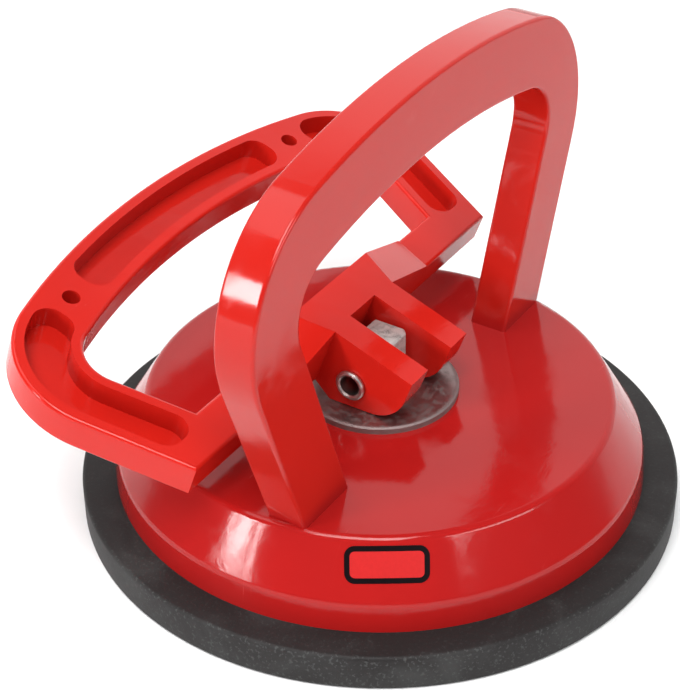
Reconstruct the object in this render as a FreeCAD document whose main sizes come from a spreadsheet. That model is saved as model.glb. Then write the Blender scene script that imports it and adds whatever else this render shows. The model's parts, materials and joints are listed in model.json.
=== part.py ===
import FreeCAD, Part
import math
import os

import Sketcher

# Single-cup suction lifter for floor tiles and raised-floor panels.
#
# A moulded housing with a fixed arched grip stands on a rubber disc.  A steel stud is
# joined to the middle of the disc and passes up through the housing.  A folding grip
# turns on a rivet through the stud: swung up against the fixed grip, the toes of its
# two ears press on a steel washer and draw the middle of the disc upwards.
#
# Frame: origin at the centre of the disc's underside, X along the rivet, +Y towards the
# folding grip as it lies released, +Z up.  Millimetres and degrees.

SIZES = {
    # rubber disc
    "pad_radius": 59.0,
    "pad_thickness": 7.5,
    "pad_edge_bevel": 0.8,
    "groove_border": 11.0,
    "groove_width": 2.0,
    "groove_depth": 1.2,
    # housing shell
    "pad_border": 6.7,
    "rim_step": 0.5,
    "skirt_height": 5.7,
    "rim_round": 2.2,
    "slope_run": 6.4,
    "slope_rise": 10.3,
    "plateau_round": 1.6,
    "shell_wall": 3.0,
    "guide_wall": 2.3,
    "guide_stop_gap": 1.0,
    "rib_count": 6.0,
    "rib_thickness": 2.0,
    "rib_gap": 5.1,
    "rib_height": 3.0,
    # fixed grip, seen from the front
    "grip_rise": 70.3,
    "grip_crown_radius": 168.0,
    "grip_corner_radius": 25.0,
    "leg_border": 1.6,
    "grip_splay": 19.7,
    "grip_height": 14.2,
    "leg_width": 13.6,
    "grip_inner_corner": 10.0,
    "grip_thickness": 8.0,
    "grip_back": 3.7,
    "edge_round": 0.7,
    # hollows that lighten both grips
    "core_rim": 2.3,
    "core_depth": 4.6,
    "web_width": 10.0,
    "grip_web_side": 30.0,
    "grip_core_start": 4.5,
    "grip_core_flat": 2.2,
    "lever_web_side": 35.5,
    "lever_core_base": 12.8,
    "lever_core_flat": 1.3,
    # folding grip, in its own frame with the rivet's axis at the origin
    "lever_rest_angle": 19.7,
    "lever_top": 58.8,
    "lever_crown_radius": 164.0,
    "lever_corner_radius": 19.2,
    "lever_foot": 51.4,
    "lever_splay": 18.4,
    "lever_base": 6.9,
    "loop_base": 15.1,
    "loop_foot": 40.7,
    "loop_splay": 19.3,
    "lever_height": 12.7,
    "loop_corner": 7.8,
    "lever_thickness": 7.0,
    "lever_face": 2.4,
    "hub_face": 9.0,
    "ear_thickness": 5.9,
    "ear_side_gap": 0.35,
    "slot_back_gap": 0.4,
    "ramp_foot_low": 27.5,
    "ramp_top_high": 13.0,
    "ramp_foot_high": 29.0,
    "peg_hole_radius": 1.75,
    "peg_hole_shift": 0.5,
    "peg_hole_border": 6.4,
    "peg_hole_depth": 4.0,
    # cam on the ears
    "lift": 5.8,
    "cam_gap": 0.15,
    "toe_radius": 8.2,
    "heel_reach": 5.0,
    # rivet, stud, washer and plate
    "cam_low": 5.1,
    "rivet_radius": 2.7,
    "rivet_wall": 0.6,
    "rivet_bore_depth": 5.0,
    "rivet_roll": 0.4,
    "rivet_roll_height": 0.7,
    "rivet_head_border": 1.6,
    "rivet_head_height": 1.2,
    "rivet_edge_bevel": 0.3,
    "rivet_fit": 0.05,
    "rivet_end_play": 0.2,
    "stud_wall": 2.25,
    "stud_flat_cut": 1.05,
    "stud_flat_room": 1.6,
    "stud_front_wall": 1.45,
    "stud_back_wall": 0.75,
    "stud_cap": 3.2,
    "stud_edge_bevel": 0.4,
    "stud_fit": 0.25,
    "stud_shoulder": 2.0,
    "stud_shoulder_height": 1.2,
    "stud_tail_step": 1.0,
    "plate_radius": 25.0,
    "plate_thickness": 2.0,
    "washer_radius": 15.5,
    "washer_thickness": 1.4,
    "washer_fit": 0.4,
    "washer_edge_bevel": 0.3,
    # return spring
    "spring_gap": 2.0,
    "spring_wire": 1.2,
    "spring_wire_sides": 8.0,
    "spring_turns": 3.5,
    "spring_seat": 0.05,
    # cuts run this far past the faces they open
    "overrun": 2.0,
}

V = FreeCAD.Vector
doc = FreeCAD.newDocument("suction_lifter")
sheet = doc.addObject("Spreadsheet::Sheet", "sizes")
for row, (alias, value) in enumerate(SIZES.items(), start=1):
    sheet.set(f"A{row}", alias)
    sheet.set(f"B{row}", str(value))
    sheet.setAlias(f"B{row}", alias)
doc.recompute()


class Size:
    """A dimension that carries its value and the sheet formula that it comes from."""

    def __init__(self, value, formula):
        self.value = value
        self.formula = formula

    def __add__(self, other):
        other = as_size(other)
        return Size(self.value + other.value, f"({self.formula} + {other.formula})")

    def __sub__(self, other):
        other = as_size(other)
        return Size(self.value - other.value, f"({self.formula} - {other.formula})")

    def __mul__(self, other):
        other = as_size(other)
        return Size(self.value * other.value, f"({self.formula} * {other.formula})")

    def __truediv__(self, other):
        other = as_size(other)
        return Size(self.value / other.value, f"({self.formula} / {other.formula})")

    def __neg__(self):
        return Size(-self.value, f"(-1 * {self.formula})")


def as_size(number):
    """A plain number as a Size; a Size passes through."""
    return number if isinstance(number, Size) else Size(float(number), repr(float(number)))


def size(alias):
    """The dimension of that name in the sheet."""
    return Size(float(sheet.get(alias)), f"sizes.{alias}")


def sine(angle):
    return Size(math.sin(math.radians(angle.value)), f"sin({angle.formula})")


def cosine(angle):
    return Size(math.cos(math.radians(angle.value)), f"cos({angle.formula})")


def root(square):
    return Size(math.sqrt(square.value), f"sqrt({square.formula})")


def bind(feature, prop, dimension):
    """Tie a feature's property to the sheet."""
    feature.setExpression(prop, as_size(dimension).formula)


# ---------------------------------------------------------------- sketches and features


def new_body(name):
    body = doc.addObject("PartDesign::Body", name)
    body.Label = name
    return body


def new_sketch(body, name, role, offset=0):
    """A sketch on one of the body's own origin planes, moved along that plane's normal."""
    sketch = body.newObject("Sketcher::SketchObject", name)
    plane = next(f for f in body.Origin.OriginFeatures if f.Role == role)
    sketch.AttachmentSupport = [(plane, "")]
    sketch.MapMode = "FlatFace"
    offset = as_size(offset)
    sketch.AttachmentOffset = FreeCAD.Placement(V(0, 0, offset.value), FreeCAD.Rotation())
    sketch.setExpression("AttachmentOffset.Base.z", offset.formula)
    return sketch


def constrain(sketch, kind, references, dimension):
    """Add a dimensional constraint and tie it to the sheet."""
    dimension = as_size(dimension)
    index = sketch.addConstraint(Sketcher.Constraint(kind, *references, dimension.value))
    sketch.setExpression(f"Constraints[{index}]", dimension.formula)


def pin_point(sketch, curve, end, across, up):
    """Hold one end of a curve at a place measured from the sketch's origin."""
    for kind, axis, distance in (("DistanceX", -2, across), ("DistanceY", -1, up)):
        distance = as_size(distance)
        if distance.value == 0:
            sketch.addConstraint(Sketcher.Constraint("PointOnObject", curve, end, axis))
        else:
            constrain(sketch, kind, (-1, 1, curve, end), distance)


def close_chain(sketch, first, count):
    """Join a run of curves end to end, and the last to the first."""
    for i in range(count):
        nxt = first + (i + 1) % count
        sketch.addConstraint(Sketcher.Constraint("Coincident", first + i, 2, nxt, 1))


def polygon(sketch, corners):
    """A closed polygon with every corner held by its two distances from the origin."""
    first = sketch.GeometryCount
    spots = [V(as_size(x).value, as_size(y).value, 0) for x, y in corners]
    for i, spot in enumerate(spots):
        sketch.addGeometry(Part.LineSegment(spot, spots[(i + 1) % len(spots)]))
    close_chain(sketch, first, len(spots))
    for i, (x, y) in enumerate(corners):
        pin_point(sketch, first + i, 1, x, y)


def circle(sketch, across, up, radius):
    across, up, radius = as_size(across), as_size(up), as_size(radius)
    curve = sketch.GeometryCount
    sketch.addGeometry(Part.Circle(V(across.value, up.value, 0), V(0, 0, 1), radius.value))
    pin_point(sketch, curve, 3, across, up)
    constrain(sketch, "Radius", (curve,), radius)


def pad(body, name, sketch, length, middle=False, back=False):
    feature = body.newObject("PartDesign::Pad", name)
    feature.Profile = sketch
    feature.Midplane = middle
    feature.Reversed = back
    bind(feature, "Length", length)
    doc.recompute()
    return feature


def pocket(body, name, sketch, depth, middle=False, back=False):
    """A pocket that must take material away."""
    before = body.Shape.Volume
    feature = body.newObject("PartDesign::Pocket", name)
    feature.Profile = sketch
    feature.Midplane = middle
    feature.Reversed = back
    bind(feature, "Length", depth)
    doc.recompute()
    if body.Shape.Volume >= before:
        raise RuntimeError(f"{name} cuts nothing")
    return feature


def revolve(body, name, sketch):
    """A full turn about the sketch's vertical axis."""
    feature = body.newObject("PartDesign::Revolution", name)
    feature.Profile = sketch
    feature.ReferenceAxis = (sketch, ["V_Axis"])
    feature.Angle = 360
    doc.recompute()
    return feature


def dress_edges(body, name, kind, prop, dimension, wanted):
    """Add a fillet or chamfer to every edge of the body's tip that the test picks."""
    base = body.Tip
    chosen = [f"Edge{i}" for i, edge in enumerate(base.Shape.Edges, start=1) if wanted(edge)]
    if not chosen:
        raise RuntimeError(f"{name} found no edge")
    feature = body.newObject(kind, name)
    feature.Base = (base, chosen)
    bind(feature, prop, dimension)
    doc.recompute()


def round_edges(body, name, radius, wanted):
    dress_edges(body, name, "PartDesign::Fillet", "Radius", radius, wanted)


def bevel_edges(body, name, width, wanted):
    dress_edges(body, name, "PartDesign::Chamfer", "Size", width, wanted)


def ring_edge(radius, height):
    """Test for a full circle about Z."""
    radius, height = as_size(radius).value, as_size(height).value

    def wanted(edge):
        curve = edge.Curve
        if not isinstance(curve, Part.Circle) or abs(edge.Length - math.tau * radius) > 0.01:
            return False
        return abs(curve.Radius - radius) < 1e-4 and abs(curve.Center.z - height) < 1e-4

    return wanted


# ------------------------------------------------------------------------ shared places

# radii and levels from which more than one piece takes its shape
SKIRT_RADIUS = size("pad_radius") - size("pad_border")
RIM_RADIUS = SKIRT_RADIUS - size("rim_step")
RIM_LEVEL = size("pad_thickness") + size("skirt_height")
PLATEAU_RADIUS = RIM_RADIUS - size("slope_run")
PLATEAU_LEVEL = RIM_LEVEL + size("slope_rise")
CEILING = PLATEAU_LEVEL - size("shell_wall")
PLATE_TOP = size("pad_thickness") + size("plate_thickness")
WASHER_TOP = PLATEAU_LEVEL + size("washer_thickness")
PIVOT_LEVEL = WASHER_TOP + size("cam_gap") + size("cam_low")
RIVET_HOLE = size("rivet_radius") + size("rivet_fit")
STUD_RADIUS = RIVET_HOLE + size("stud_wall")
STUD_SIDE = STUD_RADIUS - size("stud_flat_cut")
STUD_FRONT = -(RIVET_HOLE + size("stud_front_wall"))
STUD_BACK = RIVET_HOLE + size("stud_back_wall")
STUD_REACH = RIVET_HOLE + size("stud_cap")
EAR_INSIDE = STUD_SIDE + size("ear_side_gap")
EAR_OUTSIDE = EAR_INSIDE + size("ear_thickness")
FLATS_LEVEL = WASHER_TOP - size("lift") - size("stud_flat_room")
STUD_BORE = STUD_RADIUS + size("stud_fit")
GUIDE_RADIUS = STUD_BORE + size("guide_wall")
SHOULDER_TOP = PLATE_TOP + size("stud_shoulder_height")
GUIDE_END = SHOULDER_TOP + size("lift") + size("guide_stop_gap")
SPRING_RADIUS = GUIDE_RADIUS + size("spring_gap") + size("spring_wire") / 2


# ------------------------------------------------------------------------ grip outlines


class GripOutline:
    """Half-width, height and rounding of an arched outline, symmetric about the vertical.

    A shallow crown arc runs through a corner arc into a straight leg that leans outwards
    by the splay angle and passes through a known foot point.
    """

    def __init__(self, top, crown, corner, foot, foot_height, splay):
        self.top, self.crown, self.corner = top, crown, corner
        self.foot, self.foot_height, self.splay = foot, foot_height, splay

    def inset(self, crown_rim, leg_rim, corner=None):
        """The outline moved inwards, by one distance at the crown and one at the legs."""
        corner = self.corner - leg_rim if corner is None else corner
        foot = self.foot - leg_rim / cosine(self.splay)
        return GripOutline(
            self.top - crown_rim, self.crown - crown_rim, corner, foot, self.foot_height, self.splay
        )

    def half(self):
        """Key points of the right half: crown centre, corner centre and the two tangent points."""
        lean = math.radians(self.splay.value)
        along = V(math.sin(lean), math.cos(lean), 0)
        outwards = V(math.cos(lean), -math.sin(lean), 0)
        crown_centre = V(0, self.top.value - self.crown.value, 0)
        start = V(self.foot.value, self.foot_height.value, 0) - outwards * self.corner.value
        from_crown = start - crown_centre
        reach = self.crown.value - self.corner.value
        slope = from_crown.dot(along)
        run = -slope + math.sqrt(slope**2 - from_crown.dot(from_crown) + reach**2)
        corner_centre = start + along * run
        leg_end = corner_centre + outwards * self.corner.value
        towards = (corner_centre - crown_centre).normalize()
        crown_end = crown_centre + towards * self.crown.value
        return crown_centre, corner_centre, leg_end, crown_end

    def foot_at(self, height):
        """Half-width of the straight leg at a height."""
        lean = sine(self.splay) / cosine(self.splay)
        return self.foot + (height - self.foot_height) * lean

    def crown_at(self, side):
        """Height of the crown arc at a distance from the middle."""
        return self.top - self.crown + root(self.crown * self.crown - side * side)

    def draw(self, sketch, base):
        """The closed outline down to a straight base."""
        crown_centre, corner_centre, leg_end, crown_end = self.half()
        base = as_size(base)
        foot = self.foot_at(base)
        first = sketch.GeometryCount
        flip = [V(-p.x, p.y, 0) for p in (corner_centre, leg_end, crown_end)]
        foot_point = V(foot.value, base.value, 0)
        foot_flip = V(-foot.value, base.value, 0)
        crown, corner = self.crown.value, self.corner.value
        sketch.addGeometry(Part.LineSegment(foot_flip, foot_point))
        sketch.addGeometry(Part.LineSegment(foot_point, leg_end))
        sketch.addGeometry(arc(corner_centre, corner, leg_end, crown_end))
        sketch.addGeometry(arc(crown_centre, crown, crown_end, flip[2]))
        sketch.addGeometry(arc(flip[0], corner, flip[2], flip[1]))
        sketch.addGeometry(Part.LineSegment(flip[1], foot_flip))
        base_line, leg, near, top, far, other = range(first, first + 6)
        sketch.addConstraint(Sketcher.Constraint("Coincident", base_line, 2, leg, 1))
        sketch.addConstraint(Sketcher.Constraint("Coincident", other, 2, base_line, 1))
        self.hold(sketch, (leg, near, top, far, other), base)

    def hold(self, sketch, chain, base):
        """Constrain one arched run: leg, corner, crown, corner, leg, drawn anticlockwise."""
        leg, near, top, far, other = chain
        for one, two in zip(chain, chain[1:]):
            sketch.addConstraint(Sketcher.Constraint("Tangent", one, 2, two, 1))
        pin_point(sketch, leg, 1, self.foot_at(base), base)
        sketch.addConstraint(Sketcher.Constraint("Symmetric", leg, 1, other, 2, -2))
        sketch.addConstraint(Sketcher.Constraint("Equal", leg, other))
        sketch.addConstraint(Sketcher.Constraint("Equal", near, far))
        constrain(sketch, "Radius", (near,), self.corner)
        constrain(sketch, "Radius", (top,), self.crown)
        pin_point(sketch, top, 3, 0, self.top - self.crown)
        lean = sketch.addConstraint(
            Sketcher.Constraint("Angle", leg, math.radians(90 - self.splay.value))
        )
        sketch.setExpression(f"Constraints[{lean}]", f"(90 - {self.splay.formula}) * 1 deg")


def arc(centre, radius, start, end):
    """Arc drawn anticlockwise from one point to another."""
    turn = Part.Circle(centre, V(0, 0, 1), radius)
    first = math.atan2(start.y - centre.y, start.x - centre.x)
    last = math.atan2(end.y - centre.y, end.x - centre.x)
    return Part.ArcOfCircle(turn, first, last if last > first else last + math.tau)


def draw_band(sketch, outer, inner, base):
    """The open band between two outlines, closed across both feet at the base."""
    first = sketch.GeometryCount
    outer.draw(sketch, base)
    second = sketch.GeometryCount
    inner.draw(sketch, base)
    # the two straight bases give way to one short line across each foot
    outer_leg, outer_other = first + 1, first + 5
    inner_leg, inner_other = second + 1, second + 5
    right = sketch.addGeometry(
        Part.LineSegment(sketch.getPoint(outer_leg, 1), sketch.getPoint(inner_leg, 1))
    )
    left = sketch.addGeometry(
        Part.LineSegment(sketch.getPoint(outer_other, 2), sketch.getPoint(inner_other, 2))
    )
    sketch.addConstraint(Sketcher.Constraint("Coincident", right, 1, outer_leg, 1))
    sketch.addConstraint(Sketcher.Constraint("Coincident", right, 2, inner_leg, 1))
    sketch.addConstraint(Sketcher.Constraint("Coincident", left, 1, outer_other, 2))
    sketch.addConstraint(Sketcher.Constraint("Coincident", left, 2, inner_other, 2))
    sketch.delGeometries([first, second])


# ------------------------------------------------------------------------------- pieces


def rubber_disc():
    """Rubber disc with a flat sealing face and one round groove in it."""
    body = new_body("suction_pad")
    radius, thickness = size("pad_radius"), size("pad_thickness")
    sketch = new_sketch(body, "disc_outline", "XY_Plane")
    circle(sketch, 0, 0, radius)
    pad(body, "disc", sketch, thickness)
    groove = new_sketch(body, "groove_outline", "XY_Plane")
    ring = radius - size("groove_border")
    circle(groove, 0, 0, ring)
    circle(groove, 0, 0, ring - size("groove_width"))
    pocket(body, "groove", groove, size("groove_depth"), back=True)
    top, bottom = ring_edge(radius, thickness), ring_edge(radius, 0)
    bevel_edges(body, "disc_edges", size("pad_edge_bevel"), lambda e: top(e) or bottom(e))
    return body


def shell():
    """Conical shell with a flat top, a guide for the stud and ribs under the top."""
    body = new_body("shell")
    wall, foot = size("shell_wall"), size("pad_thickness")
    rim, plateau = RIM_RADIUS, PLATEAU_RADIUS
    cavity = plateau + wall * size("slope_run") / size("slope_rise") - wall
    profile = new_sketch(body, "shell_profile", "XZ_Plane")
    polygon(
        profile,
        [
            (SKIRT_RADIUS, foot),
            (rim, RIM_LEVEL),
            (plateau, PLATEAU_LEVEL),
            (STUD_BORE, PLATEAU_LEVEL),
            (STUD_BORE, GUIDE_END),
            (GUIDE_RADIUS, GUIDE_END),
            (GUIDE_RADIUS, CEILING),
            (cavity, CEILING),
            (rim - wall, RIM_LEVEL),
            (SKIRT_RADIUS - wall, foot),
        ],
    )
    revolve(body, "shell_turn", profile)
    round_edges(body, "rim_edge", size("rim_round"), ring_edge(rim, RIM_LEVEL))
    edge = ring_edge(plateau, PLATEAU_LEVEL)
    round_edges(body, "plateau_edge", size("plateau_round"), edge)
    depth = size("rib_height")
    start = SPRING_RADIUS + size("spring_wire") / 2 + size("rib_gap")
    sunk = wall / 2
    rib = new_sketch(body, "rib_profile", "XZ_Plane")
    polygon(
        rib,
        [
            (start, CEILING - depth),
            (plateau - wall - depth, CEILING - depth),
            (rim - wall - depth, RIM_LEVEL),
            (rim - sunk, RIM_LEVEL),
            (cavity + sunk, CEILING + sunk),
            (start, CEILING + sunk),
        ],
    )
    web = pad(body, "rib", rib, size("rib_thickness"), middle=True)
    pattern = body.newObject("PartDesign::PolarPattern", "ribs")
    pattern.Originals = [web]
    axis = next(f for f in body.Origin.OriginFeatures if f.Role == "Z_Axis")
    pattern.Axis = (axis, [""])
    pattern.Angle = 360
    bind(pattern, "Occurrences", size("rib_count"))
    body.Tip = pattern
    doc.recompute()
    return body


def hollow(body, label, role, face, outer, inner, base, web_side, end_round, back):
    """Coring between the rims of a grip: a long hollow and two side ones, parted by webs."""
    rim, depth = size("core_rim"), size("core_depth")
    half_web = size("web_width") / 2
    sketch = new_sketch(body, f"{label}_outline", role, face)
    draw_band(sketch, outer.inset(rim, rim), inner.inset(-rim, -rim), base)
    pocket(body, label, sketch, depth, back=back)
    webs = new_sketch(body, f"{label}_web_outline", role, face)
    sides = (web_side - half_web, web_side + half_web)
    for hand in (-1, 1):
        tops = [(side * hand, outer.crown_at(side) - rim / 2) for side in sides]
        feet = [(side * hand, inner.crown_at(side) + rim / 2) for side in reversed(sides)]
        polygon(webs, tops + feet)
    pad(body, f"{label}_webs", webs, depth, back=not back)
    ends = [side.value for side in sides]

    def wanted(edge):
        if not isinstance(edge.Curve, Part.Line) or abs(edge.Length - depth.value) > 1e-4:
            return False
        spot = edge.CenterOfMass
        up = spot.z if role == "XZ_Plane" else spot.y
        at_web = any(abs(abs(spot.x) - end) < 1e-3 for end in ends)
        return at_web or abs(up - base.value) < 1e-3

    round_edges(body, f"{label}_ends", end_round, wanted)


def core_round(width, flat):
    """Corner radius that leaves a straight of this length across the end of a hollow."""
    return (width - size("core_rim") * 2 - flat) / 2


def outline_edges(axis, heights):
    """Test for edges that lie in one of the planes at these heights along an axis."""

    def wanted(edge):
        return any(
            all(abs(getattr(v.Point, axis) - height.value) < 1e-4 for v in edge.Vertexes)
            for height in heights
        )

    return wanted


def fixed_grip():
    """Arched grip that is moulded in one with the shell, hollowed on its back."""
    body = new_body("grip")
    outer = GripOutline(
        PLATEAU_LEVEL + size("grip_rise"),
        size("grip_crown_radius"),
        size("grip_corner_radius"),
        PLATEAU_RADIUS - size("leg_border"),
        PLATEAU_LEVEL,
        size("grip_splay"),
    )
    inner = outer.inset(size("grip_height"), size("leg_width"), size("grip_inner_corner"))
    base = CEILING
    back, thickness = size("grip_back"), size("grip_thickness")
    sketch = new_sketch(body, "grip_outline", "XZ_Plane", back)
    draw_band(sketch, outer, inner, base)
    pad(body, "grip_arch", sketch, thickness)
    in_face = outline_edges("y", [-back, -(back + thickness)])
    foot = base.value + 1e-3
    long_edges = lambda edge: in_face(edge) and edge.CenterOfMass.z > foot
    round_edges(body, "grip_edges", size("edge_round"), long_edges)
    core_base, web_side = PLATEAU_LEVEL + size("grip_core_start"), size("grip_web_side")
    ends = core_round(size("leg_width"), size("grip_core_flat"))
    hollow(body, "grip_hollow", "XZ_Plane", back, outer, inner, core_base, web_side, ends, True)
    return body


def housing():
    """Shell and fixed grip as the one moulding that they are."""
    fuse = doc.addObject("Part::MultiFuse", "housing")
    fuse.Shapes = [shell(), fixed_grip()]
    fuse.Refine = True
    fuse.Label = "housing"
    doc.recompute()
    return fuse


def lever():
    """Folding grip in its own frame: rivet axis at the origin, top face level."""
    body = new_body("lever")
    face, thickness, splay = size("lever_face"), size("lever_thickness"), size("lever_splay")
    base = size("lever_base")
    outer = GripOutline(
        size("lever_top"),
        size("lever_crown_radius"),
        size("lever_corner_radius"),
        size("lever_foot"),
        base,
        splay,
    )
    height = size("lever_height")
    loop = GripOutline(
        size("lever_top") - height,
        size("lever_crown_radius") - height,
        size("loop_corner"),
        size("loop_foot"),
        size("loop_base"),
        size("loop_splay"),
    )
    sketch = new_sketch(body, "lever_outline", "XY_Plane", face)
    outer.draw(sketch, base)
    loop.draw(sketch, size("loop_base"))
    pad(body, "lever_plate", sketch, thickness, back=True)
    edges = outline_edges("z", [face, face - thickness])
    round_edges(body, "lever_edges", size("edge_round"), edges)
    core_base, web_side = size("lever_core_base"), size("lever_web_side")
    ends = core_round(height, size("lever_core_flat"))
    hollow(body, "lever_hollow", "XY_Plane", face, outer, loop, core_base, web_side, ends, False)
    hub(body, face - thickness)
    holes = new_sketch(body, "peg_hole_outline", "XY_Plane", face)
    side = web_side + size("peg_hole_shift")
    up = outer.crown_at(side) - size("peg_hole_border")
    for hand in (-1, 1):
        circle(holes, side * hand, up, size("peg_hole_radius"))
    pocket(body, "peg_holes", holes, size("peg_hole_depth"))
    turn = FreeCAD.Rotation(V(1, 0, 0), size("lever_rest_angle").value)
    body.Placement = FreeCAD.Placement(V(0, 0, PIVOT_LEVEL.value), turn)
    bind(body, "Placement.Base.z", PIVOT_LEVEL)
    bind(body, "Placement.Rotation.Angle", size("lever_rest_angle"))
    doc.recompute()
    return body


def hub(body, underside):
    """Raised middle of the folding grip with its two ears, cam and ramps."""
    tilt, top, low, heel_reach = (
        size("lever_rest_angle"),
        size("hub_face"),
        size("cam_low"),
        size("heel_reach"),
    )
    front = -(low + size("lift"))
    toe = -(low + front * sine(tilt)) / cosine(tilt)
    heel_drop = heel_reach * sine(tilt) + low * cosine(tilt)
    heel = (heel_reach * cosine(tilt) - low * sine(tilt), -heel_drop)
    base, end = size("lever_base"), size("loop_base")
    side = new_sketch(body, "ear_outline", "YZ_Plane")
    polygon(side, [(front, top), (front, toe), heel, (base, underside), (end, underside), (end, top)])
    pad(body, "ear_block", side, EAR_OUTSIDE * 2, middle=True)

    def toe_edge(edge):
        spot = edge.CenterOfMass
        return abs(spot.y - front.value) < 1e-4 and abs(spot.z - toe.value) < 1e-4

    round_edges(body, "cam_toe", size("toe_radius"), toe_edge)
    face = size("lever_face")
    ends = []
    for name, place, crest, foot in (
        ("ramp_low", base, EAR_OUTSIDE, size("ramp_foot_low")),
        ("ramp_high", end, size("ramp_top_high"), size("ramp_foot_high")),
    ):
        sketch = new_sketch(body, name, "XZ_Plane", -place)
        sunk = face - size("core_rim")
        polygon(
            sketch,
            [(foot, sunk), (foot, face), (crest, top), (-crest, top), (-foot, face), (-foot, sunk)],
        )
        ends.append(sketch)
    loft = body.newObject("PartDesign::AdditiveLoft", "ramps")
    loft.Profile = ends[0]
    loft.Sections = [ends[1]]
    loft.Ruled = True
    doc.recompute()
    slot = new_sketch(body, "slot_outline", "XY_Plane", top)
    half = EAR_INSIDE
    stud_corner = root(STUD_BACK * STUD_BACK + STUD_REACH * STUD_REACH)
    mouth, slot_end = front - size("overrun"), stud_corner + size("slot_back_gap")
    polygon(slot, [(-half, mouth), (half, mouth), (half, slot_end), (-half, slot_end)])
    pocket(body, "ear_slot", slot, top + heel_drop + size("overrun"))
    bore = new_sketch(body, "rivet_hole_outline", "YZ_Plane")
    circle(bore, 0, 0, RIVET_HOLE)
    through = EAR_OUTSIDE * 2 + size("overrun")
    pocket(body, "rivet_hole", bore, through, middle=True)


def washer():
    """Flat steel washer that the cam presses on."""
    body = new_body("top_washer")
    sketch = new_sketch(body, "washer_outline", "XY_Plane", PLATEAU_LEVEL)
    circle(sketch, 0, 0, size("washer_radius"))
    circle(sketch, 0, 0, STUD_RADIUS + size("washer_fit"))
    pad(body, "washer_disc", sketch, size("washer_thickness"))
    edge = ring_edge(size("washer_radius"), WASHER_TOP)
    bevel_edges(body, "washer_edge", size("washer_edge_bevel"), edge)
    return body


def plate():
    """Steel disc bonded to the middle of the rubber."""
    body = new_body("pad_plate")
    sketch = new_sketch(body, "plate_outline", "XY_Plane", size("pad_thickness"))
    circle(sketch, 0, 0, size("plate_radius"))
    circle(sketch, 0, 0, STUD_RADIUS - size("stud_tail_step"))
    pad(body, "plate_disc", sketch, size("plate_thickness"))
    return body


def stud():
    """Steel stud: tail in the plate, shoulder on it, flats and cross hole for the rivet."""
    body = new_body("stud")
    radius, bottom = STUD_RADIUS, size("pad_thickness")
    tail, shoulder = radius - size("stud_tail_step"), radius + size("stud_shoulder")
    top = PIVOT_LEVEL + STUD_REACH
    profile = new_sketch(body, "stud_profile", "XZ_Plane")
    polygon(
        profile,
        [
            (0, bottom),
            (tail, bottom),
            (tail, PLATE_TOP),
            (shoulder, PLATE_TOP),
            (shoulder, SHOULDER_TOP),
            (radius, SHOULDER_TOP),
            (radius, top),
            (0, top),
        ],
    )
    revolve(body, "stud_turn", profile)
    flats = new_sketch(body, "flats_outline", "XY_Plane", FLATS_LEVEL)
    far, side = radius + size("overrun"), STUD_SIDE
    polygon(flats, [(-far, -far), (far, -far), (far, far), (-far, far)])
    corners = [(-side, STUD_FRONT), (side, STUD_FRONT), (side, STUD_BACK), (-side, STUD_BACK)]
    polygon(flats, corners)
    pocket(body, "flats", flats, top - FLATS_LEVEL + size("overrun"), back=True)
    bevel_edges(body, "stud_end", size("stud_edge_bevel"), outline_edges("z", [top]))
    hole = new_sketch(body, "cross_hole_outline", "YZ_Plane")
    circle(hole, 0, PIVOT_LEVEL, RIVET_HOLE)
    pocket(body, "cross_hole", hole, far * 2, middle=True)
    return body


def rivet():
    """Semi-tubular rivet: low round head at one end, rolled hollow end at the other."""
    body = new_body("pivot_rivet")
    profile = new_sketch(body, "rivet_profile", "XZ_Plane")
    start = EAR_OUTSIDE + size("rivet_end_play")
    rolled, head = -(start + size("rivet_roll_height")), start + size("rivet_head_height")
    shank = size("rivet_radius")
    bore, roll = shank - size("rivet_wall"), shank + size("rivet_roll")
    cap = shank + size("rivet_head_border")
    bottom = rolled + size("rivet_bore_depth")
    polygon(
        profile,
        [
            (head, 0),
            (head, cap),
            (start, cap),
            (start, shank),
            (-start, shank),
            (-start, roll),
            (rolled, roll),
            (rolled, bore),
            (bottom, bore),
            (bottom + bore / 2, 0),
        ],
    )
    feature = body.newObject("PartDesign::Revolution", "rivet_turn")
    feature.Profile = profile
    feature.ReferenceAxis = (profile, ["H_Axis"])
    feature.Angle = 360
    doc.recompute()

    def end_edge(edge):
        spot = edge.CenterOfMass
        at_roll = abs(spot.x - rolled.value) < 1e-4
        at_head = abs(spot.x - head.value) < 1e-4
        return isinstance(edge.Curve, Part.Circle) and (at_head or at_roll)

    bevel_edges(body, "rivet_edges", size("rivet_edge_bevel"), end_edge)
    body.Placement = FreeCAD.Placement(V(0, 0, PIVOT_LEVEL.value), FreeCAD.Rotation())
    bind(body, "Placement.Base.z", PIVOT_LEVEL)
    doc.recompute()
    return body


def spring():
    """Coil spring between the plate and the underside of the shell's top."""
    wire, turns = size("spring_wire"), size("spring_turns")
    low = PLATE_TOP + size("spring_seat") + wire / 2
    high = CEILING - size("spring_seat") - wire / 2
    helix = doc.addObject("Part::Helix", "spring_path")
    bind(helix, "Radius", SPRING_RADIUS)
    bind(helix, "Height", high - low)
    bind(helix, "Pitch", (high - low) / turns)
    bind(helix, "Placement.Base.z", low)
    section = doc.addObject("Part::RegularPolygon", "spring_section")
    bind(section, "Polygon", size("spring_wire_sides"))
    bind(section, "Circumradius", wire / 2)
    upright = FreeCAD.Rotation(V(1, 0, 0), 90)
    section.Placement = FreeCAD.Placement(V(SPRING_RADIUS.value, 0, low.value), upright)
    bind(section, "Placement.Base.x", SPRING_RADIUS)
    bind(section, "Placement.Base.z", low)
    sweep = doc.addObject("Part::Sweep", "return_spring")
    sweep.Sections = [section]
    sweep.Spine = (helix, ["Edge1"])
    sweep.Solid = True
    sweep.Frenet = True
    sweep.Label = "return_spring"
    doc.recompute()
    return sweep


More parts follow.
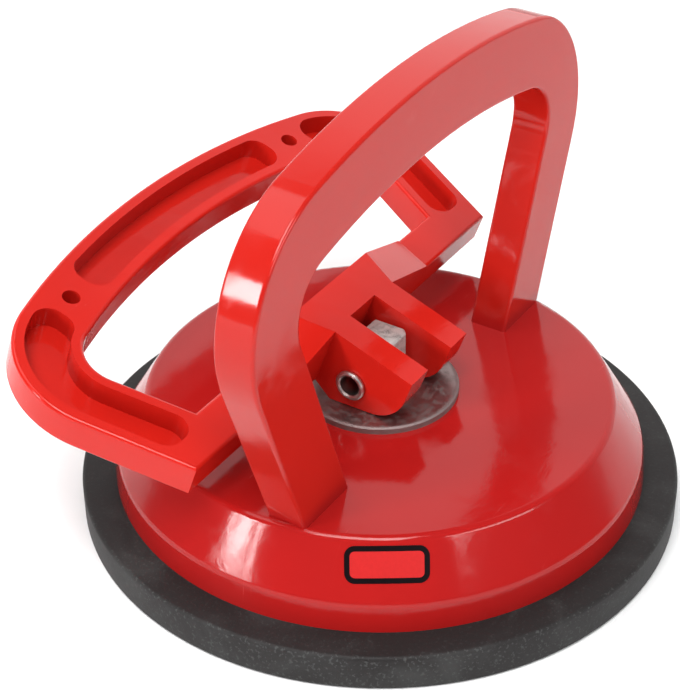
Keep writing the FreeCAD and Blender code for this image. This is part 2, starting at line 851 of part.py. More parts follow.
# ------------------------------------------------------------------------------- output


def check(piece):
    """Stop on a failed feature or an unsound solid."""
    for obj in doc.Objects:
        if "Invalid" in obj.State or "Error" in obj.State:
            raise RuntimeError(f"{obj.Label} failed: {obj.State}")
    shape = piece.Shape
    if shape.isNull() or not shape.isValid() or not shape.Solids:
        raise RuntimeError(f"{piece.Label} is not a sound solid")


pieces = [housing(), washer(), rubber_disc(), spring(), plate(), stud(), rivet(), lever()]
doc.recompute()
os.makedirs("parts", exist_ok=True)
for piece in pieces:
    check(piece)
for piece in pieces:
    piece.Shape.exportStep(f"parts/{piece.Label}.step")
    print(piece.Label, piece.Shape.BoundBox, round(piece.Shape.Volume))
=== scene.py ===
"""Looks of a tile suction lifter: moulded grips, rubber disc, plated steel, badge and studio."""

import json
import math

import bpy
from mathutils import Matrix, Vector


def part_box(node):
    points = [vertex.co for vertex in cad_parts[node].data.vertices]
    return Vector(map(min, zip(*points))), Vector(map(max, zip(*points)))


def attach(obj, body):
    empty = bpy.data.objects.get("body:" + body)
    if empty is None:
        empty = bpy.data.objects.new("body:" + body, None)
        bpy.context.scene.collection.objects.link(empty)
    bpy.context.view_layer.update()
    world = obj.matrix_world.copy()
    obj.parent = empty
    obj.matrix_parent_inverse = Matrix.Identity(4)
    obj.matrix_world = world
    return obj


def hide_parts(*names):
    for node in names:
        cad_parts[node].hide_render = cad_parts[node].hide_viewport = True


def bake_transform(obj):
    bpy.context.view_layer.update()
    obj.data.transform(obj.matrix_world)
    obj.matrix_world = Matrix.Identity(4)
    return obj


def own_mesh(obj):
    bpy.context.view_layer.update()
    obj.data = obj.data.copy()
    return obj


bl_info = {
    "name": "Tile suction lifter",
    "version": (1, 0, 0),
    "blender": (4, 5, 0),
    "location": "3D View > Sidebar > Suction lifter",
    "description": "Finishes, soft rubber, spring, badge and studio of a tile suction lifter",
    "category": "Object",
}

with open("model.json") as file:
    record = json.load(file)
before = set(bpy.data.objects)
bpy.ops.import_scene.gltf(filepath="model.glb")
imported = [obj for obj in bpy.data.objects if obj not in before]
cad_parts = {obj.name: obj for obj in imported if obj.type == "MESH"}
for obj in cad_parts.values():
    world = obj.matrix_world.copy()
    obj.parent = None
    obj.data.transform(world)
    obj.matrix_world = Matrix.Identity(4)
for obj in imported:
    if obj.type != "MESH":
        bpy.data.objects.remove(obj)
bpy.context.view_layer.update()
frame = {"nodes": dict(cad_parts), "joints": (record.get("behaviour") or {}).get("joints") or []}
MM = 0.001

# Blender's numbers for the colour sockets of a Mix node: two inputs and the output.
MIX_FIRST, MIX_SECOND, MIX_RESULT = 6, 7, 2

# The plastic: which way its fine scuffs run and how far they are drawn out, how much the soft
# noise is raised to give ripples of full depth, its refraction, and the millimetres over which
# the painted shade on the housing's lower body fades out.
SCUFF_TURN = (0.3, 0.2, 0.7)
SCUFF_STRETCH = (0.07, 2.4, 0.07)
RIPPLE_GAIN = 8
PLASTIC_IOR = 1.37
PAINTED_SHADE_BLEND = 4.0

# The rubber disc: its shine, the round of its edges, the groove in its sealing face, and the
# rings that divide it, many of them between just inside the groove and the steel plate.
RUBBER_SHINE = 0.26
EDGE_ROUND = 0.8 * MM
ROUND_STEPS = 4
GROOVE_OUTSIDE = 48.0 * MM
GROOVE_INSIDE = 46.0 * MM
GROOVE_DEPTH = 1.2 * MM
GROOVE_TAPER = 0.15 * MM
BORDER_RING = GROOVE_OUTSIDE + 3.0 * MM
BEND_END = GROOVE_INSIDE - 1.0 * MM
BEND_STEPS = 8
MIDDLE_RINGS = (4.0 * MM, 12.0 * MM)
DISC_FACETS = 180

# The return spring: its wire and its turns.
WIRE_RADIUS = 0.6 * MM
WIRE_FACETS = 16
COIL_TURNS = 3.5
STEPS_A_TURN = 48

# The housing's slope under the badge, as radius and height: its foot, and the flat top's edge.
SLOPE_FOOT = (51.8 * MM, 13.2 * MM)
SLOPE_TOP = (45.4 * MM, 23.5 * MM)
SLOPE_FACETS = 720

# The badge: the steps round a corner, the strips that let it bend round the slope, and its film.
CORNER_STEPS = 8
BADGE_STRIPS = 24
FILM_LIFT = 0.05 * MM
FILM_THICKNESS = 0.08 * MM

# The studio, in metres from the middle of the lifter's foot. Each soft light has a name, a place
# and a size. Each pane of the window has a name, a heading in degrees and a width.
FLOOR_WIDTH = 6
FLOOR_DROP = 0.02 * MM
SOFT_LIGHTS = (
    ("key", (-0.40, -0.14, 0.92), (0.5, 0.5)),
    ("top", (-0.07, 0.43, 0.93), (0.6, 0.6)),
    ("front", (-0.12, -0.95, 0.52), (0.7, 0.25)),
)
WINDOW_PANES = (("wide_pane", 150.5, 0.29), ("narrow_pane", 159.0, 0.05))
WINDOW_CENTRE = (-0.05, -0.005)
WINDOW_REACH = 1.51
WINDOW_LEVEL = 0.60
PANE_HEIGHT = 0.42
LIGHT_TARGET = (0, 0, 0.03)
BACKDROP_SIDE = (0.88, 0.47)
CAMERA_PLACE = (-0.2517, -0.1546, 0.2351)
CAMERA_AIM = (0.6919, 0.4499, -0.5647)
CAMERA_ROLL = math.radians(0.62)
SENSOR_WIDTH = 36


# ------------------------------------------------------------------------- settings


def colour_setting(name, description, default):
    """A colour that the panel offers."""
    return bpy.props.FloatVectorProperty(
        name=name, description=description, subtype="COLOR", size=3, min=0, max=1, default=default
    )


def light_setting(name, description, default):
    """The strength of a light that the panel offers."""
    return bpy.props.FloatProperty(name=name, description=description, min=0, default=default)


def share_setting(name, description, default):
    """A number from 0 to 1 that the panel offers."""
    return bpy.props.FloatProperty(
        name=name, description=description, subtype="FACTOR", min=0, max=1, default=default
    )


def length_setting(name, description, default):
    """A length in metres that the panel offers."""
    return bpy.props.FloatProperty(
        name=name, description=description, subtype="DISTANCE", unit="LENGTH", default=default
    )


class LifterPlastic(bpy.types.PropertyGroup):
    """Glossy plastic of the housing and the lever."""

    shade: colour_setting("Shade", "Colour of the housing's moulding", (0.455, 0.0130, 0.0075))
    # Painted light: the lever is the housing's plastic painted lighter, for the fuller light that
    # falls on its upper faces.
    lever_painted_lighter: colour_setting(
        "Lever shade", "Colour of the lever's moulding", (0.560, 0.0150, 0.0085)
    )
    # This deeper colour serves both the random flow marks in the moulding and the painted shade
    # on the housing's lower body.
    deep_tone_and_painted_shade: colour_setting(
        "Deep shade", "Colour where the moulding is denser", (0.320, 0.0075, 0.0080)
    )
    scuff: colour_setting("Scuff", "Colour of the fine scuffs", (0.50, 0.040, 0.036))
    # Painted shade: below this height the housing is painted deeper, for the shade on its lower
    # body.
    painted_shade_level: length_setting(
        "Thick level", "Height below which the housing's moulding is denser", 23.6 * MM
    )
    roughness: share_setting("Roughness", "Roughness of a clean, polished face", 0.10)
    haze: share_setting("Haze", "Extra roughness where hands have touched", 0.12)
    ripple: length_setting("Ripple", "Depth of the sink marks and flow ripples", 0.05 * MM)


class LifterRubber(bpy.types.PropertyGroup):
    """Rubber of the suction disc."""

    shade: colour_setting("Shade", "Colour of clean rubber", (0.012, 0.010, 0.010))
    bloom: colour_setting(
        "Bloom", "Colour of the grey bloom on the rubber", (0.050, 0.051, 0.050)
    )
    roughness: share_setting("Roughness", "Roughness of clean rubber", 0.50)
    grain: length_setting("Grain", "Depth of the rubber's grain", 0.06 * MM)


class LifterSteel(bpy.types.PropertyGroup):
    """Plated steel of the washer, stud, plate and rivet, and the bare spring."""

    shade: colour_setting("Shade", "Colour of the plating", (0.56, 0.53, 0.51))
    stain: colour_setting(
        "Stain", "Colour of the plating where it has dulled", (0.20, 0.175, 0.165)
    )
    # Partly painted reflection: the washer's plating is darkened and tinted red, for the red
    # lever hub that it mirrors.
    washer_plating_and_reflection: colour_setting(
        "Washer shade", "Colour of the washer's plating", (0.300, 0.235, 0.230)
    )
    # Painted shade and painted reflection: the inside of the rivet's bore is painted dark red,
    # for the shade in the hollow and the red plastic mirrored there.
    bore_painted_shade_and_reflection: colour_setting(
        "Bore shade", "Colour inside the rivet's bore", (0.200, 0.014, 0.012)
    )
    wire_shade: colour_setting("Wire shade", "Colour of the spring's wire", (0.10, 0.095, 0.09))
    roughness: share_setting("Roughness", "Roughness of the plating", 0.30)


class LifterBadge(bpy.types.PropertyGroup):
    """Blank printed badge on the slope of the housing."""

    width: length_setting("Width", "Width along the slope", 15.2 * MM)
    height: length_setting("Height", "Height up the slope", 6.7 * MM)
    corner: length_setting("Corner", "Radius of the corners", 1.9 * MM)
    outline: length_setting("Outline", "Width of the dark outline", 1.0 * MM)
    level: length_setting("Level", "Height of the badge's middle above the floor", 19.45 * MM)
    turn: bpy.props.FloatProperty(
        name="Turn",
        description="Where the badge stands round the housing",
        subtype="ANGLE",
        unit="ROTATION",
        default=math.radians(-146.7),
    )
    field: colour_setting("Field", "Colour inside the outline", (0.52, 0.018, 0.018))
    ink: colour_setting("Ink", "Colour of the outline", (0.004, 0.001, 0.002))


class LifterStudio(bpy.types.PropertyGroup):
    """Floor, light and camera."""

    floor: colour_setting("Floor", "Colour of the floor", (0.90, 0.90, 0.90))
    sky: light_setting("Sky", "Strength of the light all round", 0.18)
    backdrop: light_setting("Backdrop", "Strength of the light from behind the lifter", 1.15)
    key: light_setting("Key", "Power of the soft light above the lever's side", 9.0)
    top: light_setting("Top", "Power of the soft light overhead, at the back", 2.6)
    front: light_setting("Front", "Power of the soft light in front of the fixed grip", 4.5)
    window: light_setting("Window", "Brightness of the two window panes", 33.0)
    lens: bpy.props.FloatProperty(
        name="Lens", description="Focal length", subtype="DISTANCE_CAMERA", default=96.75
    )


# ----------------------------------------------------------------------- shader maths


class Signal:
    """A shader socket that works like a number in an expression."""

    def __init__(self, finish, socket):
        self.finish = finish
        self.socket = socket

    def math(self, operation, first, second):
        """Adds a Math node."""
        return self.finish.node("Math", {"operation": operation}, {0: first, 1: second})

    def __add__(self, other):
        return self.math("ADD", self, other)

    def __radd__(self, other):
        return self.math("ADD", other, self)

    def __sub__(self, other):
        return self.math("SUBTRACT", self, other)

    def __rsub__(self, other):
        return self.math("SUBTRACT", other, self)

    def __mul__(self, other):
        return self.math("MULTIPLY", self, other)

    def __rmul__(self, other):
        return self.math("MULTIPLY", other, self)

    def __pow__(self, other):
        return self.math("POWER", self, other)


class Finish:
    """A material or a world, built from nodes."""

    def __init__(self, name, store="materials"):
        self.block = getattr(bpy.data, store).new(name)
        self.block.use_nodes = True
        self.tree = self.block.node_tree
        self.tree.nodes.clear()

    def node(self, kind, settings=None, sockets=None, output=0):
        """Adds a node: its type, its settings, then the values or links of its sockets."""
        added = self.tree.nodes.new("ShaderNode" + kind)
        for name, value in (settings or {}).items():
            setattr(added, name, value)
        for name, value in (sockets or {}).items():
            socket = added.inputs[name]
            if isinstance(value, Signal):
                self.tree.links.new(value.socket, socket)
            else:
                socket.default_value = value
        return Signal(self, added.outputs[output])

    def place(self):
        """The point on the surface, in millimetres."""
        metres = self.node("TexCoord", output="Object")
        return self.node("VectorMath", {"operation": "SCALE"}, {0: metres, "Scale": 1 / MM})

    def parts_of(self, point):
        """The x, y and z of a point."""
        split = self.node("SeparateXYZ", {}, {0: point})
        outputs = split.socket.node.outputs
        return [Signal(self, outputs[axis]) for axis in range(3)]

    def cloud(self, point, scale, detail=2.0, roughness=0.5, distortion=0.0):
        """Soft random patches, scale of them to a millimetre."""
        sockets = {
            "Vector": point,
            "Scale": scale,
            "Detail": detail,
            "Roughness": roughness,
            "Distortion": distortion,
        }
        return self.node("TexNoise", {}, sockets, "Fac")

    def step(self, value, low, high, start=0.0, end=1.0):
        """A smooth step from start to end, as value goes from low to high."""
        sockets = {
            "Value": value,
            "From Min": low,
            "From Max": high,
            "To Min": start,
            "To Max": end,
        }
        return self.node("MapRange", {"interpolation_type": "SMOOTHSTEP"}, sockets)

    def blended(self, share, first, second):
        """A colour between two colours."""
        sockets = {"Factor": share, MIX_FIRST: opaque(first), MIX_SECOND: opaque(second)}
        return self.node("Mix", {"data_type": "RGBA"}, sockets, MIX_RESULT)

    def relief(self, height, depth, strength=1.0):
        """A bump as deep, in metres, as depth for a height of one."""
        return self.node("Bump", {}, {"Strength": strength, "Distance": depth, "Height": height})

    def close(self, sockets, shader="BsdfPrincipled", output="OutputMaterial"):
        """Ends the tree with one shader."""
        surface = self.node(shader, {}, sockets)
        end = self.tree.nodes.new("ShaderNode" + output)
        self.tree.links.new(surface.socket, end.inputs["Surface"])
        return self.block


def opaque(colour):
    """A colour with full alpha, or a linked colour as it is."""
    return colour if isinstance(colour, Signal) else (*colour[:3], 1.0)


def moulded_plastic(name, look, shade, painted_shade_level=None):
    """Polished red plastic with flow marks, hand haze and fine scuffs.

    Below the given level the housing's colour is painted deeper, as painted shade on its lower
    body.
    """
    finish = Finish(name)
    point = finish.place()
    flow = finish.cloud(point, 0.030, detail=3.0, roughness=0.55, distortion=0.6)
    smear = finish.cloud(point, 0.11, detail=4.0, roughness=0.62, distortion=0.4)
    fine = finish.cloud(point, 1.6)
    drawn_out = finish.node(
        "Mapping",
        {"vector_type": "POINT"},
        {"Vector": point, "Rotation": SCUFF_TURN, "Scale": SCUFF_STRETCH},
    )
    streaks = finish.step(finish.cloud(drawn_out, 1.0, detail=1.0), low=0.70, high=0.76)
    worn = finish.step(smear, low=0.52, high=0.72)
    scuffs = streaks * worn
    flow_and_painted_shade = flow * 0.3
    # Painted shade: the flow marks deepen the colour at random, and below the level the housing
    # is painted deeper still, standing in for the shade under the grip and the lever.
    if painted_shade_level is not None:
        up = finish.parts_of(point)[2]
        level = painted_shade_level / MM
        flow_and_painted_shade = flow_and_painted_shade + finish.step(up, level, level + PAINTED_SHADE_BLEND, start=0.7, end=0.0)
    moulded = finish.blended(flow_and_painted_shade, shade, look.deep_tone_and_painted_shade)
    height = flow * 0.75 + smear * 0.22 + fine * 0.012 - scuffs * 0.02
    return finish.close(
        {
            "Base Color": finish.blended(scuffs * 0.35, moulded, look.scuff),
            "Roughness": look.roughness + worn * look.haze + scuffs * 0.12,
            "IOR": PLASTIC_IOR,
            "Normal": finish.relief(height, look.ripple * RIPPLE_GAIN, strength=0.6),
        }
    )


def disc_rubber(look, rim):
    """Dull rubber: grain, specks, grey bloom and a lighter side wall; rim is its radius."""
    finish = Finish("disc_rubber")
    point = finish.place()
    across, along, up = finish.parts_of(point)
    reach = (across * across + along * along) ** 0.5
    side = finish.step(reach, rim - 1.0, rim - 0.2)
    grain = finish.cloud(point, 1.1, detail=4.0, roughness=0.65)
    specks = finish.step(finish.cloud(point, 1.6, roughness=0.6), low=0.57, high=0.66)
    bloom = finish.cloud(point, 0.06, detail=5.0, roughness=0.62, distortion=0.8)
    patches = finish.step(bloom, low=0.42, high=0.72)
    turned = finish.node("CombineXYZ", {}, {"X": reach * 2.2, "Y": up * 0.2})
    rings = finish.cloud(turned, 1.0)
    # The bloom patches and the specks grey the rubber, and the side wall is made lighter than the
    # top.
    greying = patches * 0.46 + side * 0.12 + specks * (0.26 + side * 0.50)
    greying = finish.step(greying + rings * 0.10, low=0.05, high=1.15)
    height = grain * 0.7 + rings * 0.25 + specks * 0.2
    return finish.close(
        {
            "Base Color": finish.blended(greying, look.shade, look.bloom),
            "Roughness": look.roughness + greying * 0.25 + grain * 0.12,
            "Specular IOR Level": RUBBER_SHINE,
            "Normal": finish.relief(height, look.grain, strength=0.8),
        }
    )


def plated_steel(name, look, shade, bright, metal=1.0, rim=None, bore=None):
    """Dulled plating with turned rings.

    bright is how much of the shine is left and metal how bare the steel is. rim is the radius of
    an edge that is kept lighter and rougher, and bore the middle of the rivet's bore, whose
    inside is painted dark red as painted shade and painted reflection of the red plastic.
    """
    finish = Finish(name)
    point = finish.place()
    across, along, up = finish.parts_of(point)
    reach = (across * across + along * along) ** 0.5
    turned = finish.node("CombineXYZ", {}, {"X": reach * 5.0, "Y": up * 5.0})
    rings = finish.cloud(turned, 1.0)
    spots = finish.cloud(point, 0.55, detail=4.0, roughness=0.6, distortion=0.5)
    grain = finish.cloud(point, 5.0)
    kept = 0.3 * bright
    dulled = finish.step(spots + rings * 0.35, low=0.45 + kept, high=0.85 + kept)
    # Near the rim the plating is kept less dulled, so lighter, and made rougher.
    edge = 0.0 if rim is None else finish.step(reach, rim - 0.9, rim - 0.4)
    shade = finish.blended(dulled * (1.0 - edge * 0.6), shade, look.stain)
    if bore is not None:
        # Painted shade and painted reflection: inside the bore the colour turns dark red.
        from_axis = ((along - bore.y / MM) ** 2 + (up - bore.z / MM) ** 2) ** 0.5
        inside = finish.step(from_axis, low=1.9, high=2.2, start=1.0, end=0.0)
        shade = finish.blended(inside, shade, look.bore_painted_shade_and_reflection)
    polish = look.roughness + 0.12 - 0.14 * bright
    return finish.close(
        {
            "Base Color": shade,
            "Metallic": metal - dulled * 0.35 * metal,
            "Roughness": polish + dulled * 0.22 + grain * 0.06 + edge * 0.25,
            "Normal": finish.relief(rings * 0.6 + grain * 0.25, 0.03 * MM, strength=0.5),
        }
    )


def spring_steel(look):
    """Oiled dark wire."""
    finish = Finish("spring_wire")
    point = finish.place()
    film = finish.cloud(point, 0.8, detail=3.0)
    return finish.close(
        {
            "Base Color": finish.blended(film, look.wire_shade, look.stain),
            "Metallic": 1.0,
            "Roughness": 0.28 + film * 0.2,
            "Normal": finish.relief(finish.cloud(point, 3.0), 0.02 * MM, strength=0.5),
        }
    )


def badge_ink(name, shade, gloss, shine):
    """Printed ink: a thin even film with a faint screen texture."""
    finish = Finish(name)
    point = finish.place()
    mottle = finish.cloud(point, 1.4, detail=3.0)
    darker = tuple(0.82 * part for part in shade)
    return finish.close(
        {
            "Base Color": finish.blended(mottle, shade, darker),
            "Roughness": gloss + mottle * 0.12,
            "Specular IOR Level": shine,
            "Normal": finish.relief(finish.cloud(point, 6.0), 0.006 * MM, strength=0.5),
        }
    )


def white_floor(shade):
    """Plain pale studio floor."""
    finish = Finish("studio_floor")
    patches = finish.cloud(finish.place(), 0.004)
    dimmer = tuple(0.985 * part for part in shade)
    return finish.close({"Base Color": finish.blended(patches, shade, dimmer), "Roughness": 0.85})


def studio_light(look):
    """Dim light all round, and a pale backdrop behind the lifter."""
    finish = Finish("studio_light", "worlds")
    across, along, up = finish.parts_of(finish.node("TexCoord", output="Generated"))
    facing = across * BACKDROP_SIDE[0] + along * BACKDROP_SIDE[1]
    behind = finish.step(facing, low=0.1, high=0.8)
    below_top = finish.step(up, low=0.62, high=0.86, start=1.0, end=0.0)
    strength = look.sky + behind * below_top * look.backdrop
    sockets = {"Color": (1, 1, 1, 1), "Strength": strength}
    return finish.close(sockets, "Background", "OutputWorld")


# -------------------------------------------------------------------------- modelling


def clear_selection():
    """Leaves nothing selected."""
    if bpy.context.object and bpy.context.object.mode != "OBJECT":
        bpy.ops.object.mode_set(mode="OBJECT")
    bpy.ops.object.select_all(action="DESELECT")


def choose(piece):
    """Selects one piece and makes it the active one."""
    clear_selection()
    piece.select_set(True)
    bpy.context.view_layer.objects.active = piece


def settle(piece):
    """Puts a piece's place, turn and size into its mesh."""
    choose(piece)
    bpy.ops.object.transform_apply(location=True, rotation=True, scale=True)


def start_edit(piece):
    """Opens one piece in edit mode, with all of it selected."""
    choose(piece)
    bpy.ops.object.mode_set(mode="EDIT")
    bpy.ops.mesh.select_all(action="SELECT")


def end_edit():
    """Goes back to object mode."""
    bpy.ops.object.mode_set(mode="OBJECT")


def apply_modifier(piece, name, kind, **values):
    """Adds a modifier and applies it."""
    modifier = piece.modifiers.new(name, kind)
    for key, value in values.items():
        setattr(modifier, key, value)
    bpy.context.view_layer.objects.active = piece
    bpy.ops.object.modifier_apply(modifier=modifier.name)


def turn_up(name, outline, facets):
    """A turned piece: a ring drawn out step by step along an outline of radius and height."""
    clear_selection()
    radius, height = outline[0]
    bpy.ops.mesh.primitive_circle_add(
        vertices=facets, radius=radius, fill_type="NGON", location=(0, 0, height)
    )
    piece = bpy.context.object
    piece.name = name
    settle(piece)
    start_edit(piece)
    for wide, high in outline[1:]:
        rise = {"value": (0, 0, high - height)}
        bpy.ops.mesh.extrude_region_move(TRANSFORM_OT_translate=rise)
        grown = wide / radius
        bpy.ops.transform.resize(value=(grown, grown, 1), center_override=(0, 0, high))
        radius, height = wide, high
    bpy.ops.mesh.select_all(action="SELECT")
    bpy.ops.mesh.normals_make_consistent(inside=False)
    end_edit()
    return piece


def dress(piece, *materials):
    """Gives a piece its materials."""
    piece.data.materials.clear()
    for material in materials:
        piece.data.materials.append(material)


def dress_node(name, material):
    """Puts a material in every slot of a CAD node."""
    node = frame["nodes"][name]
    if not node.material_slots:
        node.data.materials.append(material)
    for each in node.material_slots:
        each.material = material


def smooth_edges(piece, angle):
    """Smooth shading, with edges sharper than angle, in degrees, left crisp."""
    choose(piece)
    bpy.ops.object.shade_smooth_by_angle(angle=math.radians(angle))


def joint_named(name):
    """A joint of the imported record."""
    return next(joint for joint in frame["joints"] if joint["name"] == name)


# -------------------------------------------------------------------------- operators


class LIFTER_OT_plastic(bpy.types.Operator):
    """Finishes the housing and the folding lever in polished red plastic"""

    bl_idname = "lifter.plastic"
    bl_label = "Finish the plastic"

    def execute(self, context):
        look = context.scene.lifter_plastic
        housing = moulded_plastic("housing_plastic", look, look.shade, look.painted_shade_level)
        dress_node("housing", housing)
        # Painted light: the lever takes the lighter colour.
        dress_node("lever", moulded_plastic("lever_plastic", look, look.lever_painted_lighter))
        return {"FINISHED"}


class LIFTER_OT_steel(bpy.types.Operator):
    """Finishes the washer, the stud, the plate and the rivet in dulled plating"""

    bl_idname = "lifter.steel"
    bl_label = "Finish the steel"

    def execute(self, context):
        look = context.scene.lifter_steel
        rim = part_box("top_washer")[1].x / MM
        low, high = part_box("pivot_rivet")
        pivot = (low + high) / 2
        # The washer's colour carries a painted reflection of the red lever hub.
        washer = plated_steel("washer_plating", look, look.washer_plating_and_reflection, bright=0.50, rim=rim)
        stud = plated_steel("stud_plating", look, look.shade, bright=0.30, metal=0.45)
        plate = plated_steel("plate_plating", look, look.shade, bright=0.10)
        rivet = plated_steel("rivet_plating", look, look.shade, bright=0.90, bore=pivot)
        dress_node("top_washer", washer)
        dress_node("stud", stud)
        dress_node("pad_plate", plate)
        dress_node("pivot_rivet", rivet)
        return {"FINISHED"}


class LIFTER_OT_rubber(bpy.types.Operator):
    """Builds the rubber disc"""

    bl_idname = "lifter.rubber"
    bl_label = "Build the rubber disc"

    def execute(self, context):
        low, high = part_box("suction_pad")
        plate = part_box("pad_plate")[1].x
        rim, top = high.x, high.z
        bend = BEND_END - plate
        bends = [plate + bend * step / BEND_STEPS for step in range(BEND_STEPS + 1)]
        under = [(radius, low.z) for radius in (*MIDDLE_RINGS, *bends, GROOVE_INSIDE)]
        under.append((GROOVE_INSIDE + GROOVE_TAPER, GROOVE_DEPTH))
        under.append((GROOVE_OUTSIDE - GROOVE_TAPER, GROOVE_DEPTH))
        under.append((GROOVE_OUTSIDE, low.z))
        side = []
        for level, start in ((EDGE_ROUND, -90), (top - EDGE_ROUND, 0)):
            for step in range(ROUND_STEPS + 1):
                angle = math.radians(start + 90 * step / ROUND_STEPS)
                radius = rim - EDGE_ROUND + EDGE_ROUND * math.cos(angle)
                side.append((radius, level + EDGE_ROUND * math.sin(angle)))
        inwards = (BORDER_RING, GROOVE_OUTSIDE, *reversed(bends), *reversed(MIDDLE_RINGS))
        upper = [(radius, top) for radius in inwards]
        piece = turn_up("rubber_disc", under + side + upper, DISC_FACETS)
        smooth_edges(piece, 40)
        dress(piece, disc_rubber(context.scene.lifter_rubber, rim / MM))
        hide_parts("suction_pad")
        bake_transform(piece)
        # Each point's share of a bend is worked out from its radius, but nothing uses it.
        for vertex in piece.data.vertices:
            reach = math.hypot(vertex.co.x, vertex.co.y)
            share = min(1.0, max(0.0, (BEND_END - reach) / bend))
            share * share * (3 - 2 * share)
        return {"FINISHED"}


class LIFTER_OT_spring(bpy.types.Operator):
    """Winds the return spring"""

    bl_idname = "lifter.spring"
    bl_label = "Wind the return spring"

    def execute(self, context):
        low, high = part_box("return_spring")
        length = high.z - low.z
        steps = round(STEPS_A_TURN * COIL_TURNS)
        clear_selection()
        bpy.ops.mesh.primitive_circle_add(
            vertices=WIRE_FACETS,
            radius=WIRE_RADIUS,
            fill_type="NOTHING",
            location=(high.x - WIRE_RADIUS, 0, low.z + WIRE_RADIUS),
            rotation=(math.radians(90), 0, 0),
        )
        piece = bpy.context.object
        piece.name = "return_coil"
        settle(piece)
        apply_modifier(
            piece,
            "winding",
            "SCREW",
            angle=math.radians(360 * COIL_TURNS),
            screw_offset=length - 2 * WIRE_RADIUS,
            steps=steps,
            render_steps=steps,
        )
        start_edit(piece)
        bpy.ops.mesh.select_mode(type="EDGE")
        bpy.ops.mesh.select_all(action="DESELECT")
        bpy.ops.mesh.select_non_manifold()
        bpy.ops.mesh.fill()
        bpy.ops.mesh.select_all(action="SELECT")
        bpy.ops.mesh.normals_make_consistent(inside=False)
        end_edit()
        smooth_edges(piece, 50)
        dress(piece, spring_steel(context.scene.lifter_steel))
        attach(piece, "housing")
        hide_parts("return_spring")
        lift = joint_named("stud_lift")["range_m"][1]
        (length - lift) / length
        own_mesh(piece)
        return {"FINISHED"}


class LIFTER_OT_badge(bpy.types.Operator):
    """Lays a blank printed badge on the slope of the housing"""

    bl_idname = "lifter.badge"
    bl_label = "Lay the blank badge"

    def execute(self, context):
        look = context.scene.lifter_badge
        low_radius, low_level = SLOPE_FOOT
        high_radius, high_level = SLOPE_TOP
        slope = (low_radius - high_radius) / (high_level - low_level)
        radius = low_radius - slope * (look.level - low_level)
        clear_selection()
        bpy.ops.mesh.primitive_plane_add(size=1, location=(0, 0, 0))
        piece = bpy.context.object
        piece.name = "blank_badge"
        field = badge_ink("badge_field", look.field, gloss=0.16, shine=0.5)
        outline = badge_ink("badge_outline", look.ink, gloss=0.35, shine=0.12)
        dress(piece, field, outline)
        start_edit(piece)
        bpy.ops.transform.resize(value=(look.width, look.height, 1), center_override=(0, 0, 0))
        bpy.ops.mesh.bevel(offset=look.corner, segments=CORNER_STEPS, affect="VERTICES")
        bpy.ops.mesh.select_mode(type="FACE")
        piece.active_material_index = 1
        bpy.ops.mesh.select_all(action="SELECT")
        bpy.ops.object.material_slot_assign()
        bpy.ops.mesh.inset(thickness=look.outline)
        piece.active_material_index = 0
        bpy.ops.object.material_slot_assign()
        for step in range(1, BADGE_STRIPS):
            bpy.ops.mesh.select_all(action="SELECT")
            across = look.width * (step / BADGE_STRIPS - 0.5)
            bpy.ops.mesh.bisect(plane_co=(across, 0, 0), plane_no=(1, 0, 0))
        end_edit()
        cosine, sine = math.cos(look.turn), math.sin(look.turn)
        outward = Vector((cosine, sine, slope)).normalized()
        along = Vector((-sine, cosine, 0))
        upward = outward.cross(along)
        middle = Vector((radius * cosine, radius * sine, look.level))
        pose = Matrix((along, upward, outward)).transposed().to_4x4()
        piece.matrix_world = Matrix.Translation(middle) @ pose
        settle(piece)
        clear_selection()
        bpy.ops.mesh.primitive_cone_add(
            vertices=SLOPE_FACETS,
            radius1=low_radius,
            radius2=high_radius,
            depth=high_level - low_level,
            location=(0, 0, (low_level + high_level) / 2),
        )
        form = bpy.context.object
        apply_modifier(
            piece,
            "lay_down",
            "SHRINKWRAP",
            target=form,
            wrap_method="NEAREST_SURFACEPOINT",
            offset=FILM_LIFT,
        )
        bpy.data.objects.remove(form)
        apply_modifier(piece, "film", "SOLIDIFY", thickness=FILM_THICKNESS, offset=-1)
        smooth_edges(piece, 30)
        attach(piece, "housing")
        return {"FINISHED"}


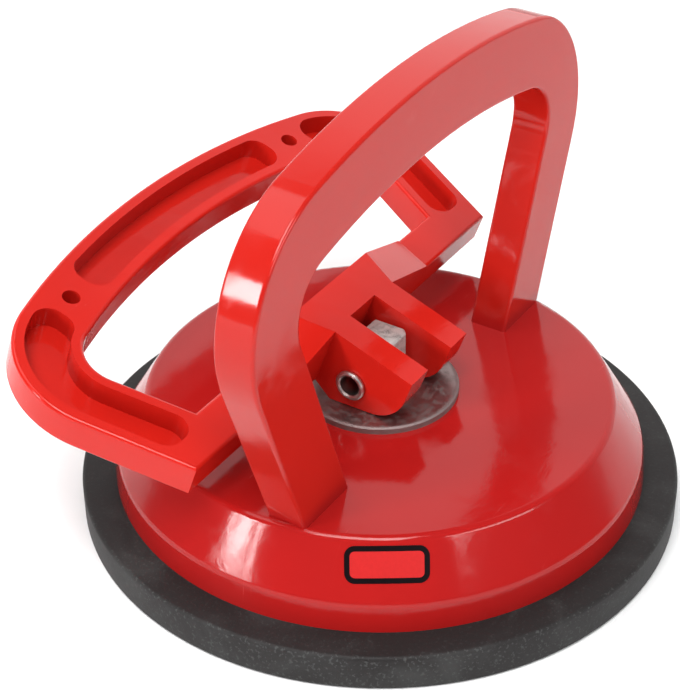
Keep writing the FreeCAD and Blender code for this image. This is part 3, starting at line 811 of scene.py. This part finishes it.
class LIFTER_OT_studio(bpy.types.Operator):
    """Sets up the floor, the soft lights and the camera"""

    bl_idname = "lifter.studio"
    bl_label = "Set up the studio"

    def execute(self, context):
        look = context.scene.lifter_studio
        clear_selection()
        bpy.ops.mesh.primitive_plane_add(size=FLOOR_WIDTH, location=(0, 0, -FLOOR_DROP))
        floor = bpy.context.object
        floor.name = "studio_floor"
        dress(floor, white_floor(look.floor))
        context.scene.world = studio_light(look)
        context.scene.view_settings.view_transform = "Standard"
        for name, place, size in SOFT_LIGHTS:
            self.soft_light(name, place, size, getattr(look, name))
        for name, heading, width in WINDOW_PANES:
            angle = math.radians(heading)
            across = WINDOW_CENTRE[0] + WINDOW_REACH * math.cos(angle)
            along = WINDOW_CENTRE[1] + WINDOW_REACH * math.sin(angle)
            power = look.window * math.pi * width * PANE_HEIGHT
            self.soft_light(name, (across, along, WINDOW_LEVEL), (width, PANE_HEIGHT), power)
        self.aim_camera(context, look.lens)
        return {"FINISHED"}

    def soft_light(self, name, place, size, power):
        """An area light that faces the middle of the lifter."""
        clear_selection()
        bpy.ops.object.light_add(type="AREA", location=place)
        lamp = bpy.context.object
        lamp.name = name
        lamp.data.shape = "RECTANGLE"
        lamp.data.size = size[0]
        lamp.data.size_y = size[1]
        lamp.data.energy = power
        aim = Vector(LIGHT_TARGET) - Vector(place)
        lamp.rotation_euler = aim.to_track_quat("-Z", "Y").to_euler()

    def aim_camera(self, context, lens):
        """The camera, a little rolled, above the front left of the lifter."""
        forward = Vector(CAMERA_AIM).normalized()
        level = forward.cross(Vector((0, 0, 1))).normalized()
        upright = level.cross(forward).normalized()
        right = math.cos(CAMERA_ROLL) * level - math.sin(CAMERA_ROLL) * upright
        up = math.sin(CAMERA_ROLL) * level + math.cos(CAMERA_ROLL) * upright
        clear_selection()
        bpy.ops.object.camera_add()
        camera = bpy.context.object
        pose = Matrix((right, up, -forward)).transposed().to_4x4()
        camera.matrix_world = Matrix.Translation(CAMERA_PLACE) @ pose
        camera.data.lens = lens
        camera.data.sensor_width = SENSOR_WIDTH
        context.scene.camera = camera


class LIFTER_PT_panel(bpy.types.Panel):
    """Lists the lifter's settings and steps"""

    bl_idname = "LIFTER_PT_panel"
    bl_label = "Suction lifter"
    bl_space_type = "VIEW_3D"
    bl_region_type = "UI"
    bl_category = "Suction lifter"

    def draw(self, context):
        scene = context.scene
        for title, group, step in STEPS:
            box = self.layout.box()
            box.label(text=title)
            settings = getattr(scene, group)
            for name in settings.__annotations__:
                box.prop(settings, name)
            box.operator("lifter." + step)


STEPS = (
    ("Plastic", "lifter_plastic", "plastic"),
    ("Steel", "lifter_steel", "steel"),
    ("Rubber", "lifter_rubber", "rubber"),
    ("Spring", "lifter_steel", "spring"),
    ("Badge", "lifter_badge", "badge"),
    ("Studio", "lifter_studio", "studio"),
)

GROUPS = {
    "lifter_plastic": LifterPlastic,
    "lifter_rubber": LifterRubber,
    "lifter_steel": LifterSteel,
    "lifter_badge": LifterBadge,
    "lifter_studio": LifterStudio,
}

CLASSES = (
    *GROUPS.values(),
    LIFTER_OT_plastic,
    LIFTER_OT_steel,
    LIFTER_OT_rubber,
    LIFTER_OT_spring,
    LIFTER_OT_badge,
    LIFTER_OT_studio,
    LIFTER_PT_panel,
)


def register():
    """Makes the settings, operators and panel known."""
    for each in CLASSES:
        bpy.utils.register_class(each)
    for name, group in GROUPS.items():
        setattr(bpy.types.Scene, name, bpy.props.PointerProperty(type=group))


def unregister():
    """Takes them away again."""
    for name in GROUPS:
        delattr(bpy.types.Scene, name)
    for each in reversed(CLASSES):
        bpy.utils.unregister_class(each)


def main():
    """Finishes the whole lifter."""
    register()
    for *_, step in STEPS:
        getattr(bpy.ops.lifter, step)()


if __name__ == "__main__":
    main()
